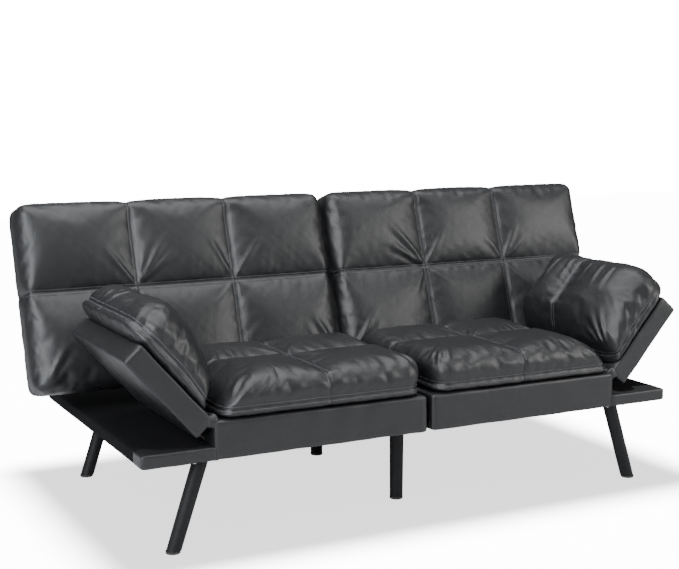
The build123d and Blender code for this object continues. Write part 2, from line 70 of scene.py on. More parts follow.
studio = {
    "floorSize": 16,
    "floorColour": (0.62, 0.62, 0.63, 1),
    "skyColour": (1.0, 1.0, 1.0, 1),
    "skyStrength": 0.19,    # the light that it gives
    "backdropStrength": 16.0,   # how bright it looks behind the sofa
    "paintedShadowStrength": 2.0,       # how bright the painted shadow on the floor looks beneath the sofa
    # Half the size of the painted shadow's rectangle, and the width of its soft edge.
    "paintedShadowHalf": (0.80, 0.44, 0),
    "paintedShadowEdge": 0.20,
    "glowShare": 0.9,       # of what the camera sees, the white glow with its painted shadow; the rest is the floor's own light and shadow
    "lamps": [
        # name, place, aimed at, size, watts, colour
        ("overhead", (-0.2, -0.2, 3.6), (0, 0.1, 0.4), (4.6, 3.4), 245, (0.96, 0.98, 1.0)),
        ("leftWindow", (-3.6, -2.2, 2.2), (0, 0, 0.4), (3.2, 2.8), 330, (0.94, 0.97, 1.0)),
        ("rightFill", (3.2, -2.8, 1.8), (0.2, 0, 0.4), (2.2, 2.0), 130, (1.0, 0.99, 0.97)),
    ],
}


def addLamp(name, place, target, size, watts, colour):
    lamp = bpy.data.objects.new(name, bpy.data.lights.new(name, "AREA"))
    bpy.context.scene.collection.objects.link(lamp)
    lamp.data.shape = "RECTANGLE"
    lamp.data.size, lamp.data.size_y = size
    lamp.data.energy = watts
    lamp.data.color = colour
    lamp.location = place
    aim = Vector(target) - Vector(place)
    lamp.rotation_euler = aim.to_track_quat("-Z", "Y").to_euler()


def addStudio():
    world = bpy.data.worlds.new("studio")
    world.use_nodes = True
    tree = world.node_tree
    light = tree.nodes["Background"]
    light.inputs["Color"].default_value = studio["skyColour"]
    light.inputs["Strength"].default_value = studio["skyStrength"]
    backdrop = tree.nodes.new("ShaderNodeBackground")
    backdrop.inputs["Color"].default_value = studio["skyColour"]
    backdrop.inputs["Strength"].default_value = studio["backdropStrength"]
    path = tree.nodes.new("ShaderNodeLightPath")
    choice = tree.nodes.new("ShaderNodeMixShader")
    tree.links.new(path.outputs["Is Camera Ray"], choice.inputs[0])
    tree.links.new(light.outputs[0], choice.inputs[1])
    tree.links.new(backdrop.outputs[0], choice.inputs[2])
    tree.links.new(choice.outputs[0], tree.nodes["World Output"].inputs["Surface"])
    bpy.context.scene.world = world
    for lamp in studio["lamps"]:
        addLamp(*lamp)
    half = studio["floorSize"] / 2
    sheet = bpy.data.meshes.new("floor")
    corners = [(-half, -half, 0), (half, -half, 0), (half, half, 0), (-half, half, 0)]
    sheet.from_pydata(corners, [], [(0, 1, 2, 3)])
    floor = bpy.data.objects.new("floor", sheet)
    bpy.context.scene.collection.objects.link(floor)
    floor.data.materials.append(floorPaint())


# Shader maths


class Wire:
    # A socket that takes part in ordinary arithmetic.
    def __init__(self, shader, socket):
        self.shader = shader
        self.socket = socket

    def maths(self, operation, first, second):
        return self.shader.node("ShaderNodeMath", {"operation": operation}, {0: first, 1: second})

    def __add__(self, other):
        return self.maths("ADD", self, other)

    __radd__ = __add__

    def __mul__(self, other):
        return self.maths("MULTIPLY", self, other)

    __rmul__ = __mul__

    def __sub__(self, other):
        return self.maths("SUBTRACT", self, other)

    def __rsub__(self, other):
        return self.maths("SUBTRACT", other, self)


class Shader:
    # A material's node tree, with its main shader and Object coordinates ready.
    def __init__(self, name):
        self.material = bpy.data.materials.new(name)
        self.material.use_nodes = True
        self.tree = self.material.node_tree
        self.main = self.tree.nodes["Principled BSDF"]
        self.place = self.node("ShaderNodeTexCoord", output="Object")

    def node(self, kind, settings=None, inputs=None, output=0):
        made = self.tree.nodes.new(kind)
        for key, value in (settings or {}).items():
            setattr(made, key, value)
        for key, value in (inputs or {}).items():
            self.feed(made.inputs[key], value)
        return Wire(self, made.outputs[output])

    def feed(self, socket, value):
        if isinstance(value, Wire):
            self.tree.links.new(value.socket, socket)
        else:
            socket.default_value = value

    def give(self, **sockets):
        # Names with a blank are written with an underscore.
        for name, value in sockets.items():
            self.feed(self.main.inputs[name.replace("_", " ")], value)

    def noise(self, scale, detail=2.0, roughness=0.5, place=None):
        values = {"Vector": place or self.place, "Scale": scale, "Detail": detail, "Roughness": roughness}
        return self.node("ShaderNodeTexNoise", {"noise_dimensions": "3D"}, values)

    def cells(self, scale):
        return self.node("ShaderNodeTexVoronoi", None, {"Vector": self.place, "Scale": scale})

    def stretched(self, scale):
        return self.node("ShaderNodeMapping", None, {"Vector": self.place, "Scale": scale})

    def blend(self, factor, first, second):
        values = {"Factor": factor, 6: first, 7: second}
        return self.node("ShaderNodeMix", {"data_type": "RGBA"}, values, output=2)

    def bump(self, height, strength, distance):
        values = {"Height": height, "Strength": strength, "Distance": distance}
        self.give(Normal=self.node("ShaderNodeBump", None, values))


# Finishes


leatherLook = {
    "dark": (0.0050, 0.0052, 0.0058, 1),
    "light": (0.0105, 0.0110, 0.0122, 1),
    "roughness": 0.40,
    "roughnessSpread": 0.16,
    "pebbles": 560,         # per metre
    "creases": 70,
    "creaseShare": 0.9,
    "bumpDistance": 0.0011,
    "bumpStrength": 0.42,
    "specular": 0.42,
    "coat": 0.03,
    "coatRoughness": 0.32,
}


def leather():
    shader = Shader("blackLeather")
    patches = shader.noise(5.5, 3)
    mottle = shader.noise(42, 3, 0.6)
    pebbles = shader.cells(leatherLook["pebbles"])
    grain = shader.noise(1500, 2)
    creases = shader.noise(leatherLook["creases"], 4, 0.62)
    tint = patches * 0.6 + mottle * 0.4
    shader.give(Base_Color=shader.blend(tint, leatherLook["dark"], leatherLook["light"]))
    spread = leatherLook["roughnessSpread"]
    base = leatherLook["roughness"] - spread / 2
    shader.give(Roughness=base + spread * (mottle * 0.5 + patches * 0.5) + pebbles * 0.05)
    shader.give(Coat_Weight=leatherLook["coat"], Coat_Roughness=leatherLook["coatRoughness"])
    shader.give(Specular_IOR_Level=leatherLook["specular"])
    height = pebbles * 0.5 + grain * 0.12 + creases * leatherLook["creaseShare"]
    shader.bump(height, leatherLook["bumpStrength"], leatherLook["bumpDistance"])
    return shader.material


def lining():
    shader = Shader("blackLining")
    fibres = shader.noise(900, 3, 0.7, shader.stretched((1, 0.25, 1)))
    crossFibres = shader.noise(900, 3, 0.7, shader.stretched((0.25, 1, 1)))
    dimples = shader.cells(420)
    patches = shader.noise(9, 3)
    fuzz = fibres * 0.5 + crossFibres * 0.5
    tint = fuzz * 0.7 + patches * 0.3
    shader.give(Base_Color=shader.blend(tint, (0.003, 0.003, 0.0035, 1), (0.010, 0.010, 0.011, 1)))
    shader.give(Roughness=0.84 + 0.14 * fuzz, Specular_IOR_Level=0.05)
    shader.bump(fuzz + dimples * 0.6, 0.35, 0.0008)
    return shader.material


def powderCoat():
    shader = Shader("blackPowderCoat")
    orangePeel = shader.noise(700, 2)
    patches = shader.noise(14, 2)
    shader.give(Base_Color=shader.blend(patches, (0.004, 0.004, 0.0045, 1), (0.008, 0.008, 0.009, 1)))
    shader.give(Roughness=0.46 + 0.12 * orangePeel, Specular_IOR_Level=0.20)
    shader.bump(orangePeel, 0.25, 0.0004)
    return shader.material


def zinc():
    shader = Shader("zincSteel")
    spangle = shader.cells(260)
    scratches = shader.noise(300, 4, 0.7, shader.stretched((1, 1, 9)))
    shader.give(Base_Color=shader.blend(spangle, (0.42, 0.43, 0.44, 1), (0.62, 0.63, 0.65, 1)))
    shader.give(Metallic=1.0, Roughness=0.28 + 0.22 * scratches)
    shader.bump(scratches, 0.15, 0.0002)
    return shader.material


def springSteel():
    shader = Shader("oiledWire")
    scale = shader.noise(160, 4)
    shader.give(Base_Color=shader.blend(scale, (0.10, 0.10, 0.11, 1), (0.24, 0.23, 0.22, 1)))
    shader.give(Metallic=1.0, Roughness=0.3 + 0.25 * scale)
    return shader.material


def timber():
    shader = Shader("planedPine")
    rings = shader.noise(18, 4, 0.6, shader.stretched((0.12, 1, 1)))
    fibres = shader.noise(420, 3, 0.6, shader.stretched((0.06, 1, 1)))
    tint = rings * 0.75 + fibres * 0.25
    shader.give(Base_Color=shader.blend(tint, (0.38, 0.24, 0.12, 1), (0.66, 0.49, 0.31, 1)))
    shader.give(Roughness=0.6 + 0.2 * fibres)
    shader.bump(fibres * 0.6 + rings * 0.4, 0.3, 0.0006)
    return shader.material


def hardboard():
    shader = Shader("hardboard")
    chips = shader.noise(260, 4, 0.7)
    patches = shader.noise(8, 2)
    tint = chips * 0.7 + patches * 0.3
    shader.give(Base_Color=shader.blend(tint, (0.15, 0.085, 0.045, 1), (0.30, 0.19, 0.11, 1)))
    shader.give(Roughness=0.62 + 0.2 * chips)
    shader.bump(chips, 0.3, 0.0005)
    return shader.material


def felt():
    shader = Shader("needledFelt")
    fibres = shader.noise(620, 4, 0.75)
    flecks = shader.noise(130, 2)
    tint = fibres * 0.5 + flecks * 0.5
    shader.give(Base_Color=shader.blend(tint, (0.30, 0.29, 0.28, 1), (0.62, 0.60, 0.58, 1)))
    shader.give(Roughness=0.9 + 0.08 * fibres)
    shader.bump(fibres, 0.5, 0.0012)
    return shader.material


def plastic():
    shader = Shader("blackPlastic")
    texture = shader.noise(900, 2)
    shader.give(Base_Color=shader.blend(texture, (0.016, 0.016, 0.016, 1), (0.026, 0.026, 0.027, 1)))
    shader.give(Roughness=0.5 + 0.15 * texture)
    shader.bump(texture, 0.2, 0.0003)
    return shader.material


def thread():
    shader = Shader("blackThreadPaintedSheen")
    twist = shader.noise(2600, 2)
    # Black thread whose grey is partly its own colour and partly painted sheen, so the stitches show as lighter
    # dashes.
    shader.give(Base_Color=shader.blend(twist, (0.070, 0.072, 0.078, 1), (0.150, 0.154, 0.165, 1)))
    shader.give(Roughness=0.5 + 0.2 * twist)
    return shader.material


def floorPaint():
    shader = Shader("paleFloor")
    cloud = shader.noise(1.5, 2)
    shade = tuple(value * 0.985 for value in studio["floorColour"][:3]) + (1,)
    shader.give(Base_Color=shader.blend(cloud, shade, studio["floorColour"]), Roughness=0.9)
    # The camera sees a white sheet that greys softly beneath the sofa: a painted shadow, a dimmer glow over the
    # sofa's footprint.
    folded = shader.node("ShaderNodeVectorMath", {"operation": "ABSOLUTE"}, {0: shader.place})
    reach = {0: folded, 1: studio["paintedShadowHalf"]}
    beyond = shader.node("ShaderNodeVectorMath", {"operation": "SUBTRACT"}, reach)
    outside = shader.node("ShaderNodeVectorMath", {"operation": "MAXIMUM"}, {0: beyond, 1: (0, 0, 0)})
    away = shader.node("ShaderNodeVectorMath", {"operation": "LENGTH"}, {0: outside}, output=1)
    limits = {"Value": away, "From Max": studio["paintedShadowEdge"]}
    clearOfPaintedShadow = shader.node("ShaderNodeMapRange", {"interpolation_type": "SMOOTHSTEP"}, limits)
    # Painted shadow: the floor glows dim grey inside the sofa's footprint and white outside it.
    paintedShadowGlow, lit = [
        shader.node("ShaderNodeEmission", None, {"Color": studio["skyColour"], "Strength": studio[label]})
        for label in ("paintedShadowStrength", "backdropStrength")
    ]
    glow = shader.node("ShaderNodeMixShader", None, {0: clearOfPaintedShadow, 1: paintedShadowGlow, 2: lit})
    seen = shader.node("ShaderNodeLightPath", output="Is Camera Ray") * studio["glowShare"]
    paint = Wire(shader, shader.main.outputs[0])
    mixed = shader.node("ShaderNodeMixShader", None, {0: seen, 1: paint, 2: glow})
    shader.feed(shader.tree.nodes["Material Output"].inputs["Surface"], mixed)
    return shader.material


finishes = {
    "black_leather": leather(),
    "black_lining": lining(),
    "timber": timber(),
    "hardboard": hardboard(),
    "felt": felt(),
    "spring_wire": springSteel(),
    "black_steel": powderCoat(),
    "zinc_steel": zinc(),
    "black_plastic": plastic(),
}
threadFinish = thread()


def finishCadNodes():
    for row in frame["record"]["subparts"]:
        mesh = nodes[row["node"]].data
        mesh.materials.clear()
        mesh.materials.append(finishes[row["material_slot"]])


# Places: each soft piece is made flat in its own axes, then turned into place.
# a runs along the piece, b across it, and c out through its soft face.

backTurn = math.radians(90 - joints["right_back_recline"]["range_deg"][1])
armTurn = math.radians(-joints["right_arm_tilt"]["range_deg"][0])
pivot = Vector(joints["right_back_recline"]["pos_m"])
armAxis = Vector(joints["right_arm_tilt"]["pos_m"])
pivotDepth = 0.0815         # behind the back pad's front face
pivotRise = 0.0401          # above the back pad's lower edge

backOut = np.array((0, -math.cos(backTurn), math.sin(backTurn)))
backUp = np.array((0, math.sin(backTurn), math.cos(backTurn)))
backOrigin = np.array((0, pivot.y, pivot.z)) + pivotDepth * backOut - pivotRise * backUp
armOut = np.array((-math.sin(armTurn), 0, math.cos(armTurn)))
armAlong = np.array((math.cos(armTurn), 0, math.sin(armTurn)))

placings = {
    "seat": (np.zeros(3), np.eye(3)),
    "back": (backOrigin, np.array(((1, 0, 0), backUp, backOut))),
    "arm": (np.array((armAxis.x, 0, armAxis.z)), np.array((armAlong, (0, 1, 0), armOut))),
}


def settle(points, place, side):
    origin, axes = placings[place]
    placed = points @ axes + origin
    placed[:, 0] *= side
    return placed


# Rounded, gridded shells


def gridLines(low, high, seams, pitch, strip):
    # Where the grid's lines cross one axis, with five lines at each seam.
    marks = [low]
    for seam in sorted(seams):
        marks += [seam - 2 * strip, seam - strip, seam, seam + strip, seam + 2 * strip]
    marks.append(high)
    lines = [low]
    for start, end in zip(marks, marks[1:]):
        count = max(1, round((end - start) / pitch))
        lines += [start + (end - start) * step / count for step in range(1, count + 1)]
    return np.array(lines)


class Shell:
    # A closed box of quads whose corners and edges are rounded, kept by grid index.
    def __init__(self, lines):
        self.lines = lines
        counts = [len(line) for line in lines]
        rows = np.indices(counts)
        edge = np.zeros(counts, bool)
        for axis in range(3):
            edge |= (rows[axis] == 0) | (rows[axis] == counts[axis] - 1)
        self.index = np.full(counts, -1)
        self.index[edge] = np.arange(edge.sum())
        self.flat = np.stack([lines[axis][rows[axis][edge]] for axis in range(3)], axis=1)
        self.points = self.flat.copy()
        self.normals = np.zeros_like(self.flat)
        self.faces = np.concatenate([self.sideFaces(axis, end) for axis in range(3) for end in (0, -1)])

    def sideFaces(self, axis, end):
        sheet = np.take(self.index, 0 if end == 0 else self.index.shape[axis] - 1, axis=axis)
        corners = [sheet[:-1, :-1], sheet[1:, :-1], sheet[1:, 1:], sheet[:-1, 1:]]
        outwards = (axis == 1) == (end == 0)
        if not outwards:
            corners.reverse()
        return np.stack([corner.ravel() for corner in corners], axis=1)

    def rounded(self, lowRadius, highRadius):
        low = np.array([line[0] for line in self.lines])
        high = np.array([line[-1] for line in self.lines])
        lowRadius, highRadius = np.array(lowRadius), np.array(highRadius)
        core = np.clip(self.flat, low + lowRadius, high - highRadius)
        offset = self.flat - core
        radius = np.where(offset < 0, lowRadius, highRadius)
        unit = offset / radius
        length = np.linalg.norm(unit, axis=1, keepdims=True)
        self.points = core + radius * unit / length
        normal = unit / length / radius
        self.normals = normal / np.linalg.norm(normal, axis=1, keepdims=True)
        return self

    def push(self, amount):
        self.points += self.normals * np.asarray(amount)[:, None]


def smooth(values, start, end):
    share = np.clip((values - start) / (end - start), 0, 1)
    return share * share * (3 - 2 * share)


def waves(points, size, seed):
    # A smooth random field, about -1 to 1, from a few turned sine waves of about that size.
    random = np.random.default_rng(seed)
    field = np.zeros(len(points))
    for wave in range(8):
        direction = random.normal(size=3)
        direction *= random.uniform(0.6, 1.7) * 2 * math.pi / size / np.linalg.norm(direction)
        field += np.sin(points @ direction + random.uniform(0, 2 * math.pi))
    return field / 3


def makeMesh(name, points, faces):
    mesh = bpy.data.meshes.new(name)
    mesh.from_pydata(points.tolist(), [], faces.tolist())
    mesh.validate()
    mesh.update()
    return mesh


def addObject(name, mesh):
    made = bpy.data.objects.new(name, mesh)
    bpy.context.scene.collection.objects.link(made)
    return made


def frozen(made):
    # The object's mesh as its modifiers leave it.
    graph = bpy.context.evaluated_depsgraph_get()
    mesh = bpy.data.meshes.new_from_object(made.evaluated_get(graph))
    bpy.data.objects.remove(made)
    return mesh


def meshPoints(mesh):
    flat = np.empty(len(mesh.vertices) * 3)
    mesh.vertices.foreach_get("co", flat)
    return flat.reshape(-1, 3)


def meshNormals(mesh):
    flat = np.empty(len(mesh.vertices) * 3, np.float32)
    mesh.vertex_normals.foreach_get("vector", flat)
    return flat.reshape(-1, 3).astype(float)


def setPoints(mesh, points):
    mesh.vertices.foreach_set("co", points.astype(np.float32).ravel())
    mesh.update()


def subdivided(name, points, faces):
    made = addObject(name, makeMesh(name, points, faces))
    divide = made.modifiers.new("rounding", "SUBSURF")
    divide.levels = divide.render_levels = 1
    return frozen(made)


def finishPiece(name, mesh, place, side, body, slot):
    # Turns a mesh from its own axes into place, and hangs it on its body.
    setPoints(mesh, settle(meshPoints(mesh), place, side))
    if side < 0:
        mesh.flip_normals()
    mesh.polygons.foreach_set("use_smooth", np.ones(len(mesh.polygons), bool))
    piece = addObject(name, mesh)
    mesh.materials.append(finishes[slot])
    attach(piece, body)
    return piece


# Pads


clothLook = {
    "frames": 22,
    "quality": 6,
    "mass": 0.25,
    "stretch": 14,
}


def simulate(shell, pinned, spec, fade):
    # Blows the pad up against its pinned seams, and returns where its points end.
    cushion = addObject("swelling", makeMesh("swelling", shell.points, shell.faces))
    group = cushion.vertex_groups.new(name="pins")
    group.add(np.flatnonzero(pinned).tolist(), 1.0, "REPLACE")
    cloth = cushion.modifiers.new("leather", "CLOTH")
    settings = cloth.settings
    settings.quality = clothLook["quality"]
    settings.mass = clothLook["mass"]
    settings.tension_stiffness = settings.compression_stiffness = clothLook["stretch"]
    settings.shear_stiffness = clothLook["stretch"] / 2
    settings.bending_stiffness = spec["bend"]
    settings.use_pressure = True
    settings.uniform_pressure_force = spec["pressure"]
    settings.shrink_min = -spec["slack"]
    settings.vertex_group_mass = "pins"
    settings.effector_weights.gravity = 0
    cloth.point_cache.frame_end = clothLook["frames"] + 1
    for step in range(1, clothLook["frames"] + 1):
        bpy.context.scene.frame_set(step)
    swollen = meshPoints(frozen(cushion))
    bpy.context.scene.frame_set(1)
    move = swollen - shell.points
    length = np.linalg.norm(move, axis=1, keepdims=True)
    limit = spec["cap"] * fade[:, None]
    return shell.points + move * np.minimum(1, limit / np.maximum(length, 1e-9))


seamLook = {
    "rollShare": 0.55,      # of a seam's depth, the part made by the tight roll beside it
    "rollWidth": 0.010,
    "rowWidth": 0.0016,
    "valleyWidth": 0.0022,
    "outlineShare": 0.25,   # of a seam's depth, what is left of it at the pad's outline
}


def seamPull(distance, strip, reach):
    # 1 on a seam's strip, then a tight roll and a long shallow slope, as a full pad has.
    beyond = np.clip(np.abs(distance) - strip, 0, None)
    slope = np.clip(1 - beyond / reach, 0, 1) ** 2
    roll = np.exp(-beyond / seamLook["rollWidth"])
    return seamLook["rollShare"] * roll + (1 - seamLook["rollShare"]) * slope


def outlineFade(shell, reach):
    # Small on the pad's outline, rising to 1 a reach in from it.
    inwards = np.full(len(shell.flat), np.inf)
    for axis in (0, 1):
        ends = shell.lines[axis][[0, -1]]
        inwards = np.minimum(inwards, np.abs(shell.flat[:, axis, None] - ends).min(axis=1))
    return seamLook["outlineShare"] + (1 - seamLook["outlineShare"]) * smooth(inwards, 0.0, reach)


def grooves(flat, spec):
    # The valley where the leather is sewn, and the dents of the row of stitches on each side of it.
    depth = np.zeros(len(flat))
    for axis, places in enumerate(spec["seams"]):
        for place in places:
            distance = np.abs(flat[:, axis] - place)
            rows = spec["groove"] * np.exp(-(((distance - spec["strip"]) / seamLook["rowWidth"]) ** 2))
            valley = spec["valley"] * np.exp(-((distance / seamLook["valleyWidth"]) ** 2))
            depth = np.maximum(depth, np.maximum(rows, valley))
    return depth


def frontness(shell, depth):
    # 1 on the soft face, 0 from a depth below it.
    top = shell.lines[2][-1]
    return smooth(shell.flat[:, 2], top - depth, top - depth * 0.35)


def ridge(points, fold):
    # One fold of leather: from its start, at an angle in the a-b plane, as long and wide as it says.
    start, angle, length, height, width = fold
    heading = math.radians(angle)
    along = (points[:, 0] - start[0]) * math.cos(heading) + (points[:, 1] - start[1]) * math.sin(heading)
    across = (points[:, 1] - start[1]) * math.cos(heading) - (points[:, 0] - start[0]) * math.sin(heading)
    across = across - 0.06 * along ** 2 / length * math.copysign(1, height)
    spread = width * (0.55 + 0.9 * np.clip(along / length, 0, 1))
    body = smooth(along, 0.004, 0.03) * (1 - smooth(along, length * 0.45, length))
    crease = np.exp(-((across / spread) ** 2)) - 0.55 * np.exp(-(((across - 1.9 * spread) / spread) ** 2))
    return abs(height) * body * crease


def puckers(points, seams, strip, height, reach, size, seed):
    # Small gathers that run away from each seam. seams lists (axis, place).
    total = np.zeros(len(points))
    for number, (axis, place) in enumerate(seams):
        distance = np.abs(points[:, axis] - place)
        other = points.copy()
        other[:, axis] *= 0.25
        ripple = waves(other, size, seed + number)
        total += ripple * np.exp(-distance / reach) * smooth(distance, strip * 0.9, strip * 2.2)
    return height * total


def makePad(spec, seed, side, name, body, node):
    low, high, strip = spec["low"], spec["high"], spec["strip"]
    seams = spec["seams"]
    lines = [gridLines(low[axis], high[axis], seams[axis], spec["pitch"], strip) for axis in range(3)]
    shell = Shell(lines).rounded(spec["lowRadius"], spec["highRadius"])
    front = frontness(shell, spec["seamWrap"])
    fade = outlineFade(shell, spec["fade"])
    pull = np.zeros(len(shell.flat))
    onSeam = np.zeros(len(shell.flat), bool)
    for axis in (0, 1):
        for seam in seams[axis]:
            distance = shell.flat[:, axis] - seam
            pull += (1 - pull) * seamPull(distance, strip, spec["reach"])
            onSeam |= (np.abs(distance) < strip * 1.05) & (front > 0.3)
    pull = pull * front * fade
    for seam in seams[2]:
        distance = shell.flat[:, 2] - seam
        around = seamPull(distance, strip, spec["reach"] / 2) * spec["bandDepth"]
        pull = np.maximum(pull, around * (shell.normals[:, 2] < 0.6))
        onSeam |= np.abs(distance) < strip * 1.05
    inset = spec["inset"] * smooth(shell.flat[:, 2], low[2], low[2] + 0.03)
    shell.push(-spec["seamDepth"] * pull - inset * (1 - pull) + 0.0006 * waves(shell.points, 0.03, seed))
    held = onSeam | (shell.flat[:, 2] < low[2] + 0.004)
    points = simulate(shell, held, spec, fade)
    if "shear" in spec:
        points = spec["shear"](points)
    mesh = subdivided(name, points, shell.faces)
    points = meshPoints(mesh)
    normals = meshNormals(mesh)
    dents = grooves(meshPoints(subdivided("flat", shell.flat, shell.faces)), spec)
    soft = smooth(points[:, 2], low[2] + 0.01, low[2] + 0.04)
    lift = sum(ridge(points, fold) for fold in spec["folds"][side]) * smooth(normals[:, 2], 0.2, 0.7)
    rows = [(axis, place) for axis in (0, 1) for place in seams[axis]]
    edges = [(axis, place[axis]) for axis in (0, 1) for place in (low, high)]
    gathers = puckers(points, rows, strip, spec["pucker"], 0.022, 0.035, seed)
    lift = lift + gathers * smooth(normals[:, 2], 0.1, 0.6)
    lift = lift + puckers(points, edges, 0.004, spec["edgePucker"], 0.03, 0.04, seed + 20)
    setPoints(mesh, points + normals * (lift * soft - dents)[:, None])
    stitchRows = seamRows(shell, mesh, spec, place=spec["place"], side=side)
    piece = finishPiece(name, mesh, spec["place"], side, body, "black_leather")
    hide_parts(node)
    print("pad made:", name, len(mesh.polygons), "faces")
    return stitchRows


def seamRows(shell, mesh, spec, place, side):
    # The two lines of stitches beside each seam, lifted just clear of the leather.
    points = meshPoints(mesh) + meshNormals(mesh) * spec["threadLift"]
    last = [len(line) - 1 for line in shell.lines]
    wrap = int(np.searchsorted(shell.lines[2], spec["high"][2] - spec["seamWrap"] * 0.6))
    paths = []
    for axis in (0, 1):
        other = 1 - axis
        for seam in spec["seams"][axis]:
            middle = int(np.argmin(np.abs(shell.lines[axis] - seam)))
            for row in (middle - 1, middle + 1):
                route = [(row, 0, k) for k in range(wrap, last[2])]
                route += [(row, j, last[2]) for j in range(last[other] + 1)]
                route += [(row, last[other], k) for k in range(last[2] - 1, wrap - 1, -1)]
                if axis == 1:
                    route = [(j, i, k) for i, j, k in route]
                paths.append(points[[shell.index[cell] for cell in route]])
    for seam in spec["seams"][2]:
        middle = int(np.argmin(np.abs(shell.lines[2] - seam)))
        for row in (middle - 1, middle + 1):
            route = [(0, j, row) for j in range(last[1], -1, -1)]
            route += [(i, 0, row) for i in range(1, last[0] + 1)]
            route += [(last[0], j, row) for j in range(1, last[1] + 1)]
            paths.append(points[[shell.index[cell] for cell in route]])
    return [settle(path, place, side) for path in paths]


backPad = {
    "place": "back",
    "low": (0.005, 0.0, -0.104),
    "high": (0.900, 0.510, 0.0),
    "lowRadius": (0.036, 0.024, 0.012),
    "highRadius": (0.036, 0.038, 0.044),
    "seams": ([0.309, 0.589], [0.264], []),     # where they cross a, b and c
    "strip": 0.0056,
    "pitch": 0.0095,
    "reach": 0.11,
    "fade": 0.07,
    "seamDepth": 0.021,
    "groove": 0.0013,
    "valley": 0.0042,
    "seamWrap": 0.085,
    "inset": 0.005,
    "cap": 0.013,
    "pressure": 5.0,
    "slack": 0.003,         # how much larger the leather is cut than the foam
    "bend": 6.0,
    "pucker": 0.0010,
    "edgePucker": 0.0008,
    "threadLift": 0.0006,
    "fill": 0.75,
    "folds": {
        # start (a, b), angle, length, height, width
        1: [
            ((0.309, 0.264), 128, 0.20, 0.0050, 0.009),
            ((0.309, 0.264), 147, 0.17, 0.0040, 0.008),
            ((0.309, 0.264), 52, 0.15, 0.0032, 0.008),
            ((0.309, 0.264), -128, 0.12, 0.0026, 0.008),
            ((0.309, 0.264), -40, 0.12, 0.0024, 0.008),
            ((0.589, 0.264), 60, 0.15, 0.0030, 0.008),
            ((0.589, 0.264), 125, 0.12, 0.0028, 0.008),
            ((0.589, 0.264), 38, 0.12, 0.0024, 0.007),
            ((0.589, 0.264), -55, 0.11, 0.0024, 0.008),
            ((0.03, 0.04), 50, 0.15, 0.0040, 0.009),
            ((0.07, 0.02), 62, 0.12, 0.0030, 0.008),
            ((0.87, 0.03), 122, 0.12, 0.0030, 0.008),
        ],
        -1: [
            ((0.309, 0.264), 125, 0.17, 0.0036, 0.008),
            ((0.309, 0.264), 58, 0.16, 0.0034, 0.008),
            ((0.309, 0.264), -50, 0.12, 0.0026, 0.008),
            ((0.589, 0.264), 122, 0.18, 0.0044, 0.009),
            ((0.589, 0.264), 138, 0.15, 0.0036, 0.008),
            ((0.589, 0.264), 104, 0.14, 0.0030, 0.008),
            ((0.589, 0.264), 48, 0.16, 0.0034, 0.008),
            ((0.589, 0.264), -125, 0.13, 0.0028, 0.008),
            ((0.03, 0.04), 54, 0.15, 0.0038, 0.009),
            ((0.08, 0.02), 66, 0.12, 0.0030, 0.008),
            ((0.86, 0.03), 118, 0.13, 0.0034, 0.009),
        ],
    },
}


def seatShear(points):
    # Slopes the pad's outer side in towards its crown, clear of the arm.
    shoulder, slope, start, end = 0.346, 0.084 / 0.082, 0.36, 0.582
    moved = points.copy()
    shift = np.clip(points[:, 2] - shoulder, 0, None) * slope
    moved[:, 0] -= shift * smooth(points[:, 0], start, end)
    return moved


seatPad = {
    "place": "seat",
    "low": (0.0105, -0.417, 0.317),
    "high": (0.582, 0.030, 0.428),
    "lowRadius": (0.052, 0.066, 0.016),
    "highRadius": (0.040, 0.034, 0.056),
    "seams": ([0.287], [-0.150], [0.343]),
    "strip": 0.0054,
    "pitch": 0.0088,
    "reach": 0.11,
    "fade": 0.06,
    "seamDepth": 0.021,
    "groove": 0.0013,
    "valley": 0.0038,
    "seamWrap": 0.070,
    "bandDepth": 0.4,       # of the seam depth, for the seam round the sides
    "inset": 0.006,
    "cap": 0.013,
    "pressure": 5.0,
    "slack": 0.006,
    "bend": 4.5,
    "pucker": 0.0012,
    "edgePucker": 0.0010,
    "threadLift": 0.0006,
    "fill": 0.7,
    "shear": seatShear,
    "folds": {
        side: [
            ((0.287, -0.150), 35, 0.13, 0.0030, 0.008),
            ((0.287, -0.150), 62, 0.10, 0.0024, 0.007),
            ((0.287, -0.150), 128, 0.13, 0.0032, 0.008),
            ((0.287, -0.150), -48, 0.12, 0.0028, 0.008),
            ((0.287, -0.150), -125, 0.12, 0.0030, 0.008),
            ((0.02, -0.40), 48, 0.11, 0.0042, 0.008),
            ((0.05, -0.41), 62, 0.10, 0.0034, 0.007),
            ((0.02, -0.36), 32, 0.10, 0.0030, 0.007),
            ((0.55, -0.40), 130, 0.10, 0.0028, 0.008),
        ]
        for side in (1, -1)
    },
}


def armShear(points):
    # Leans the pad's lower side out, along its slanted lower edge, and thins it at the hinge's front end.
    foot, lean, end = 0.010, 80 / 118, 0.316
    moved = points.copy()
    nearHinge = 1 - smooth(points[:, 0], 0.0, 0.15)
    nearFront = 1 - smooth(points[:, 1], -0.40, -0.20)
    moved[:, 2] *= 1 - 0.34 * nearHinge * nearFront
    share = (end - points[:, 0]) / (end - foot)
    moved[:, 0] += np.clip(moved[:, 2], 0, None) * lean * share
    return moved


